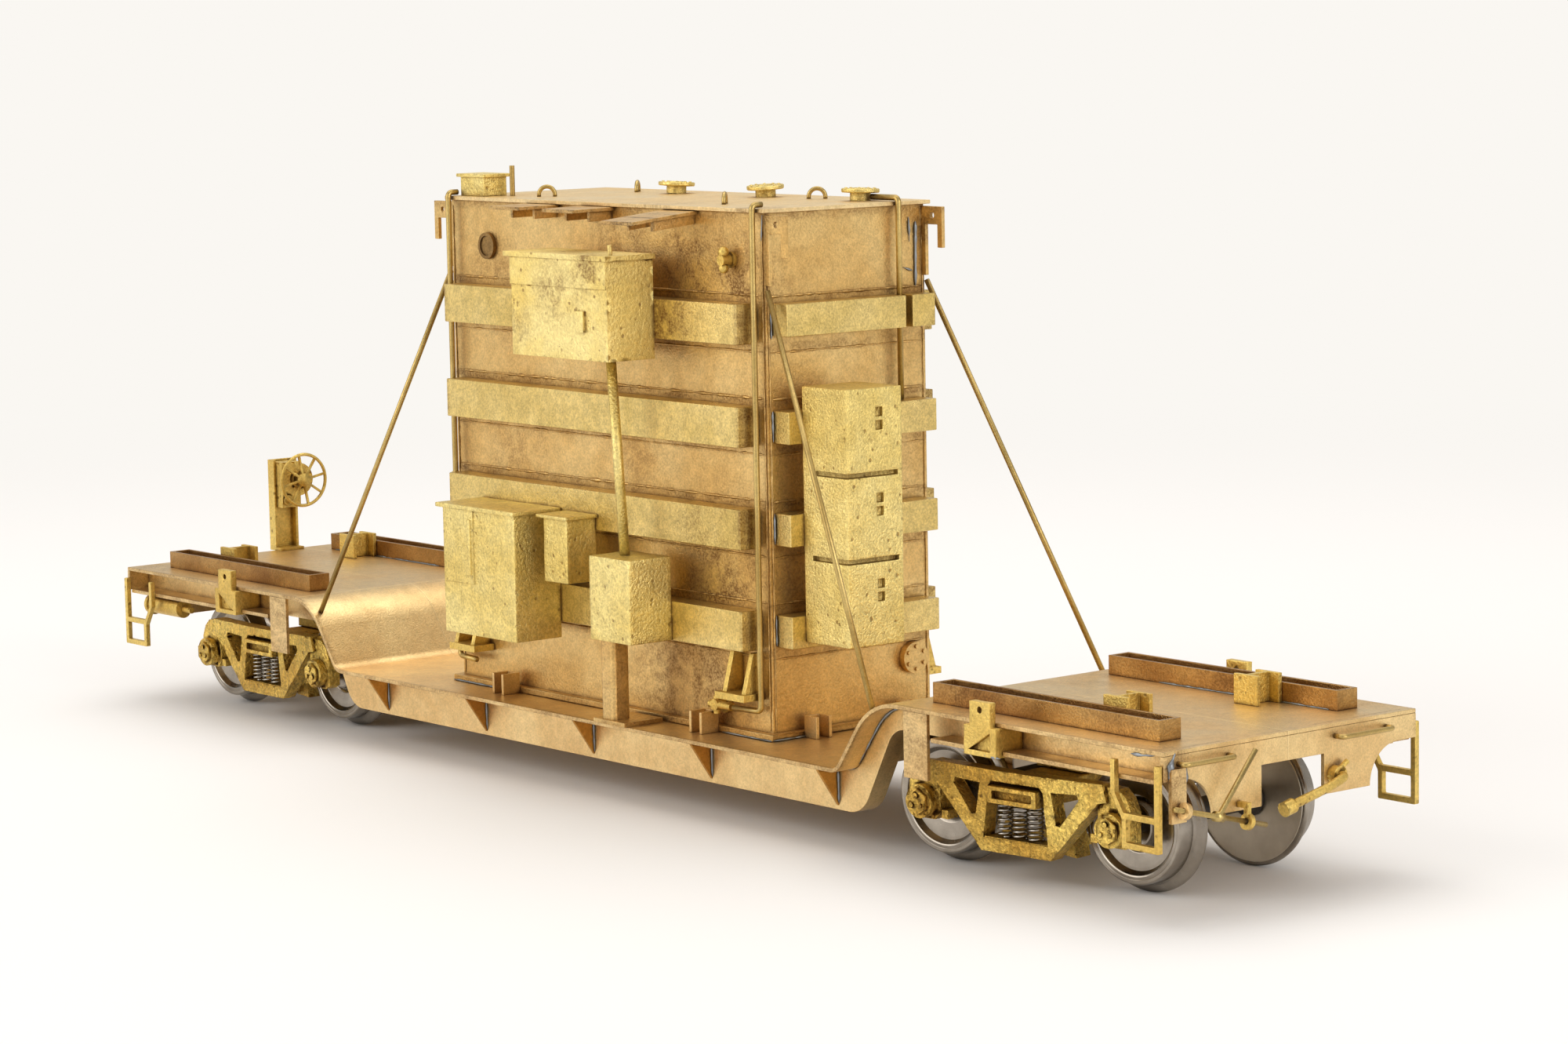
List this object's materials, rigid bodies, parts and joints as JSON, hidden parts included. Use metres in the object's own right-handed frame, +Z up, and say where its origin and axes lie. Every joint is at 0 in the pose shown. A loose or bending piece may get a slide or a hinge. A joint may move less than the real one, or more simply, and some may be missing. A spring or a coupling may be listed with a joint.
{
  "type": "model railway freight car",
  "caption": "Brass railway model of a depressed-centre flat car carrying a tall power transformer braced by slanting tie rods.",
  "frame": {"origin": "on the track centreline under the middle of the car, on the plane the wheel flanges stand on", "axes": "+X along the track towards the end without the hand brake, +Y to the left of it across the track, +Z up"},
  "size_m": [0.1796, 0.0359, 0.0638],
  "materials": {
    "blasted_copper": "satin",
    "cast_brass": "satin",
    "brown_brass": "satin",
    "drawn_wire": "satin",
    "turned_steel": "satin",
    "spring_steel": "satin"
  },
  "bodies": {
    "car_body": {"access_cover": "cast_brass", "air_hoses": "cast_brass", "body_bolsters": "cast_brass", "brake_cylinder": "cast_brass", "brake_gear_box": "cast_brass", "brake_post": "cast_brass", "conduit": "drawn_wire", "control_box": "cast_brass", "deck_cleats": "cast_brass", "deck_plate": "blasted_copper", "dial_gauge": "cast_brass", "drop_plates": "blasted_copper", "end_bands": "cast_brass", "end_cabinet": "cast_brass", "end_grab_irons": "drawn_wire", "end_sill_a": "blasted_copper", "end_sill_b": "blasted_copper", "jack_pads": "cast_brass", "jacking_brackets": "cast_brass", "junction_box": "cast_brass", "kingpin_screws": "turned_steel", "left_side_sill": "blasted_copper", "lever_eyebolts": "cast_brass", "lever_hangers": "cast_brass", "lid_box": "cast_brass", "lid_bushings": "cast_brass", "lid_hoods": "cast_brass", "lid_post": "drawn_wire", "lifting_loops": "drawn_wire", "lifting_lugs": "cast_brass", "load_trays": "brown_brass", "relay_cabinet": "cast_brass", "right_side_sill": "blasted_copper", "side_bands": "cast_brass", "sill_gussets": "cast_brass", "stake_pockets": "cast_brass", "stirrup_steps": "cast_brass", "support_column": "cast_brass", "tank_back_panel": "blasted_copper", "tank_base_strips": "blasted_copper", "tank_end_panels": "blasted_copper", "tank_front_panel": "blasted_copper", "tank_lid": "blasted_copper", "tank_pipes": "drawn_wire", "tank_valves": "cast_brass", "terminal_box": "cast_brass", "tie_rods": "drawn_wire"},
    "truck_a": {"truck_a_bolster": "cast_brass"},
    "truck_b": {"truck_b_bolster": "cast_brass"},
    "truck_a_frames": {"truck_a_side_frames": "cast_brass", "truck_a_springs": "spring_steel"},
    "truck_b_frames": {"truck_b_side_frames": "cast_brass", "truck_b_springs": "spring_steel"},
    "brake_wheel": {"brake_wheel": "drawn_wire"},
    "uncoupling_lever_a": {"uncoupling_lever_a": "drawn_wire"},
    "uncoupling_lever_b": {"uncoupling_lever_b": "drawn_wire"},
    "wheelset_a1": {"wheelset_a1": "turned_steel"},
    "wheelset_a2": {"wheelset_a2": "turned_steel"},
    "wheelset_b1": {"wheelset_b1": "turned_steel"},
    "wheelset_b2": {"wheelset_b2": "turned_steel"}
  },
  "joints": [
    {"name": "truck_a_swivel", "type": "hinge", "parent": "car_body", "child": "truck_a", "pos_m": [0.0629, 0, 0.0096], "axis": [0, 0, 1], "range_deg": [-16.9, 3.1]},
    {"name": "truck_b_swivel", "type": "hinge", "parent": "car_body", "child": "truck_b", "pos_m": [-0.0629, 0, 0.0096], "axis": [0, 0, 1], "range_deg": [-10, 10]},
    {"name": "truck_a_bounce", "type": "slide", "parent": "truck_a", "child": "truck_a_frames", "axis": [0, 0, 1], "range_m": [-0.0003, 0.0003], "stiffness_N_per_m": 4000, "springref_m": -0.00027, "deforming": ["truck_a_springs"]},
    {"name": "truck_b_bounce", "type": "slide", "parent": "truck_b", "child": "truck_b_frames", "axis": [0, 0, 1], "range_m": [-0.0003, 0.0003], "stiffness_N_per_m": 4000, "springref_m": -0.00027, "deforming": ["truck_b_springs"]},
    {"name": "wheelset_a1_spin", "type": "hinge", "parent": "truck_a_frames", "child": "wheelset_a1", "pos_m": [0.07417, 0.00136, 0.0065], "axis": [-0.1201, 0.9928, 0], "continuous": true},
    {"name": "wheelset_a2_spin", "type": "hinge", "parent": "truck_a_frames", "child": "wheelset_a2", "pos_m": [0.05163, -0.00136, 0.0065], "axis": [-0.1201, 0.9928, 0], "continuous": true},
    {"name": "wheelset_b1_spin", "type": "hinge", "parent": "truck_b_frames", "child": "wheelset_b1", "pos_m": [-0.07425, 0, 0.0065], "axis": [0, -1, 0], "continuous": true},
    {"name": "wheelset_b2_spin", "type": "hinge", "parent": "truck_b_frames", "child": "wheelset_b2", "pos_m": [-0.05155, 0, 0.0065], "axis": [0, -1, 0], "continuous": true},
    {"name": "brake_wheel_spin", "type": "hinge", "parent": "car_body", "child": "brake_wheel", "pos_m": [-0.0844, 0.0072, 0.0241], "axis": [1, 0, 0], "continuous": true},
    {"name": "uncoupling_lever_a_lift", "type": "hinge", "parent": "car_body", "child": "uncoupling_lever_a", "pos_m": [0.0881, -0.01025, 0.00925], "axis": [0, 0.9686, -0.2486], "range_deg": [0, 70]},
    {"name": "uncoupling_lever_b_lift", "type": "hinge", "parent": "car_body", "child": "uncoupling_lever_b", "pos_m": [-0.0881, 0.01025, 0.00925], "axis": [0, -0.9686, -0.2486], "range_deg": [0, 70]}
  ]
}
